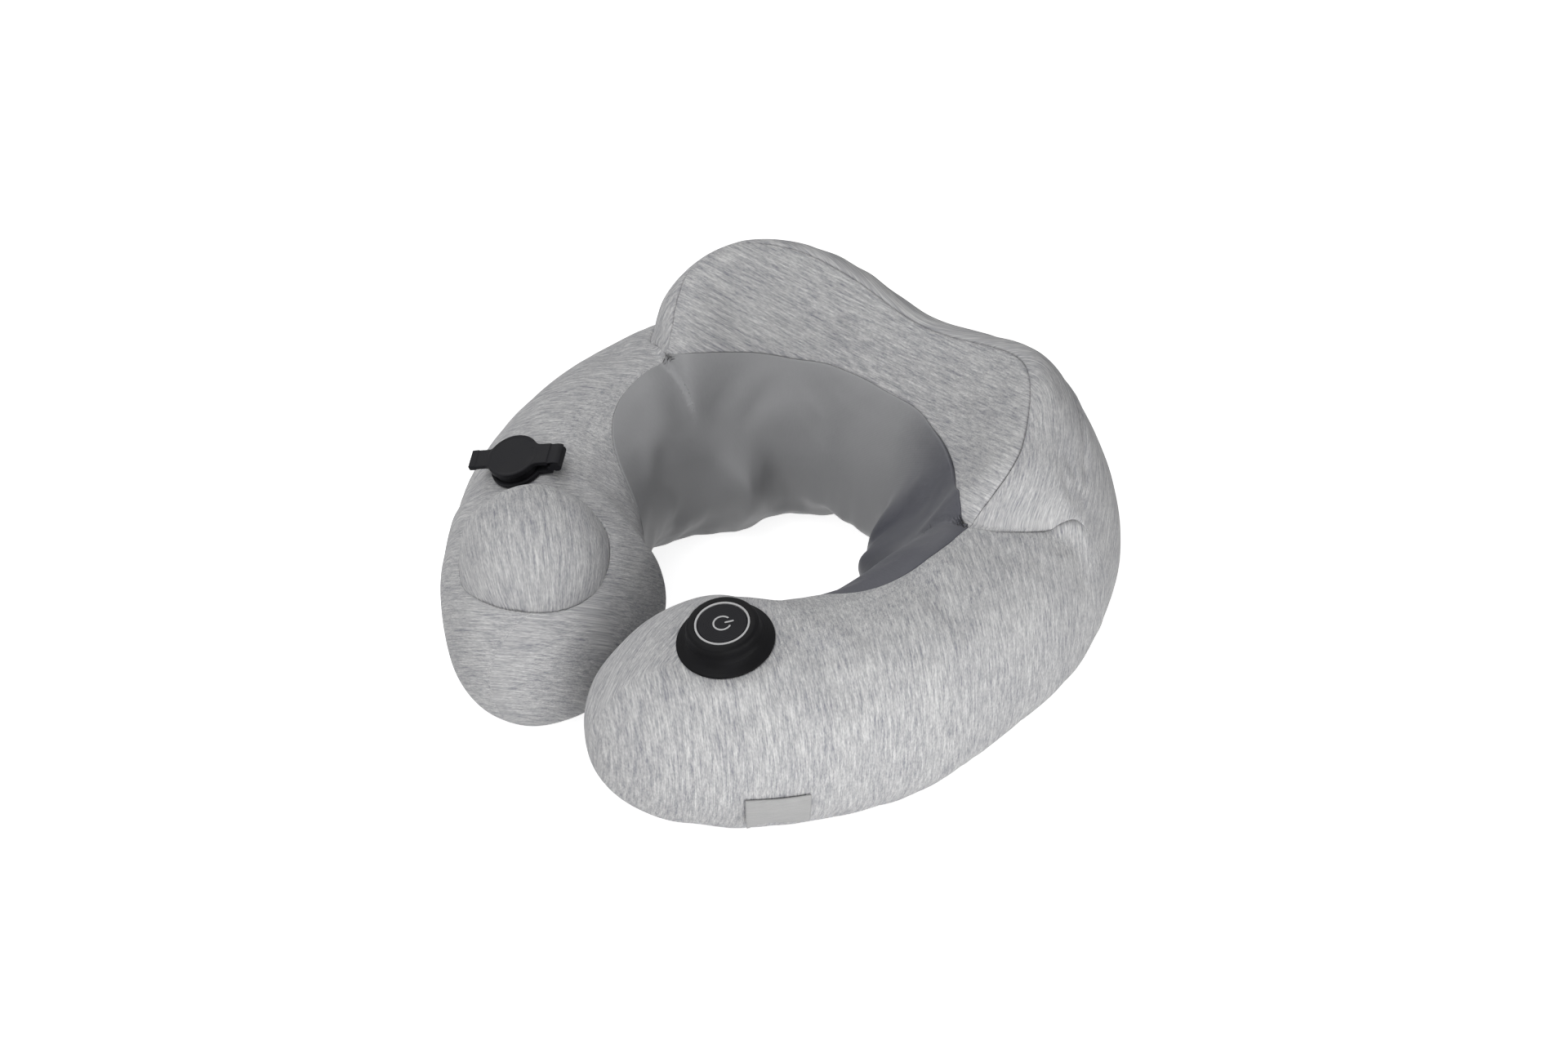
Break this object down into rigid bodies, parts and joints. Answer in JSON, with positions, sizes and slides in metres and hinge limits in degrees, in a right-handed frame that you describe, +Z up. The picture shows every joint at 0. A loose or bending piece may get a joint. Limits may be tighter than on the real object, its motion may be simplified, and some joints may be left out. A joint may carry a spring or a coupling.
{
  "type": "shiatsu neck massager",
  "caption": "Inflatable U-shaped neck pillow with a raised headrest, dark neck liner, press-pump dome, air valve, button pod and hidden kneading heads.",
  "frame": {"origin": "on the ground under the middle of the object's bounding box", "axes": "+Z up, +Y to the headrest behind the neck, +X to the arm with the button pod"},
  "size_m": [0.2996, 0.311, 0.1438],
  "materials": {
    "heather_knit": "heather-grey jersey",
    "slate_liner": "smooth dark slate stretch cloth",
    "base_cloth": "heather-grey jersey",
    "label_cloth": "plain woven label",
    "bladder_film": "soft film",
    "dark_rubber": "matt black rubber",
    "pump_foam": "open-cell foam",
    "black_plastic": "soft-touch black",
    "button_plastic": "glossy black",
    "white_plastic": "white, lit from behind",
    "grey_plastic": "moulded dark grey",
    "natural_plastic": "natural white",
    "node_rubber": "soft moulded",
    "steel": "bright",
    "brass": "turned",
    "board": "green solder mask",
    "cell_sleeve": "shrink sleeve",
    "cable_sheath": "matt black"
  },
  "bodies": {
    "cushion": {"air_bladder": "bladder_film", "base_panel": "base_cloth", "battery_cell": "cell_sleeve", "blank_label": "label_cloth", "charge_socket": "steel", "control_board": "board", "control_cup": "grey_plastic", "control_hat": "black_plastic", "control_screws": "steel", "cover_arm_left": "heather_knit", "cover_arm_right": "heather_knit", "headrest_back_panel": "heather_knit", "headrest_front_panel": "heather_knit", "left_gear_front_shell": "grey_plastic", "left_gear_rear_shell": "grey_plastic", "left_gear_screws": "steel", "left_motor_can": "steel", "left_shaft_bushes": "brass", "light_ring": "white_plastic", "neck_liner": "slate_liner", "pump_check_valve": "dark_rubber", "pump_cup": "dark_rubber", "pump_foam": "pump_foam", "right_gear_front_shell": "grey_plastic", "right_gear_rear_shell": "grey_plastic", "right_gear_screws": "steel", "right_motor_can": "steel", "right_shaft_bushes": "brass", "tact_switch": "grey_plastic", "valve_body": "dark_rubber", "valve_strap": "dark_rubber", "wiring_harness": "cable_sheath"},
    "pump": {"pump_dome": "heather_knit"},
    "valve_lid": {"valve_cap": "dark_rubber"},
    "button": {"power_button": "button_plastic", "power_mark": "white_plastic"},
    "left_head": {"left_knead_rotor": "natural_plastic", "left_knead_nodes": "node_rubber", "left_knead_shaft": "steel", "left_worm_wheel": "natural_plastic"},
    "left_drive": {"left_worm": "brass"},
    "right_head": {"right_knead_rotor": "natural_plastic", "right_knead_nodes": "node_rubber", "right_knead_shaft": "steel", "right_worm_wheel": "natural_plastic"},
    "right_drive": {"right_worm": "brass"}
  },
  "joints": [
    {"name": "pump_press", "type": "slide", "parent": "cushion", "child": "pump", "axis": [-0.1862, 0.1798, -0.9659], "range_m": [0, 0.02], "stiffness_N_per_m": 600, "springref_m": -0.002, "deforming": ["pump_foam"]},
    {"name": "valve_cap_open", "type": "hinge", "parent": "cushion", "child": "valve_lid", "pos_m": [-0.07556, -0.06836, 0.10471], "axis": [-0.5133, 0.8296, 0.2198], "range_deg": [0, 150]},
    {"name": "button_press", "type": "slide", "parent": "cushion", "child": "button", "axis": [0, 0.1908, -0.9816], "range_m": [0, 0.0008], "stiffness_N_per_m": 1500, "springref_m": -0.0006},
    {"name": "left_head_spin", "type": "hinge", "parent": "cushion", "child": "left_head", "pos_m": [0, 0.00481, 0.047], "axis": [-0.4695, 0.8829, 0], "continuous": true},
    {"name": "left_worm_spin", "type": "hinge", "parent": "cushion", "child": "left_drive", "pos_m": [-0.05926, 0.0758, 0.047], "axis": [0, 0, 1], "continuous": true},
    {"name": "right_head_spin", "type": "hinge", "parent": "cushion", "child": "right_head", "pos_m": [0, 0.00481, 0.047], "axis": [0.4695, 0.8829, 0], "continuous": true},
    {"name": "right_worm_spin", "type": "hinge", "parent": "cushion", "child": "right_drive", "pos_m": [0.05926, 0.0758, 0.047], "axis": [0, 0, 1], "continuous": true}
  ],
  "couplings": [
    {"joint": "left_worm_spin", "follows": "left_head_spin", "ratio": 30},
    {"joint": "right_worm_spin", "follows": "right_head_spin", "ratio": 30}
  ]
}
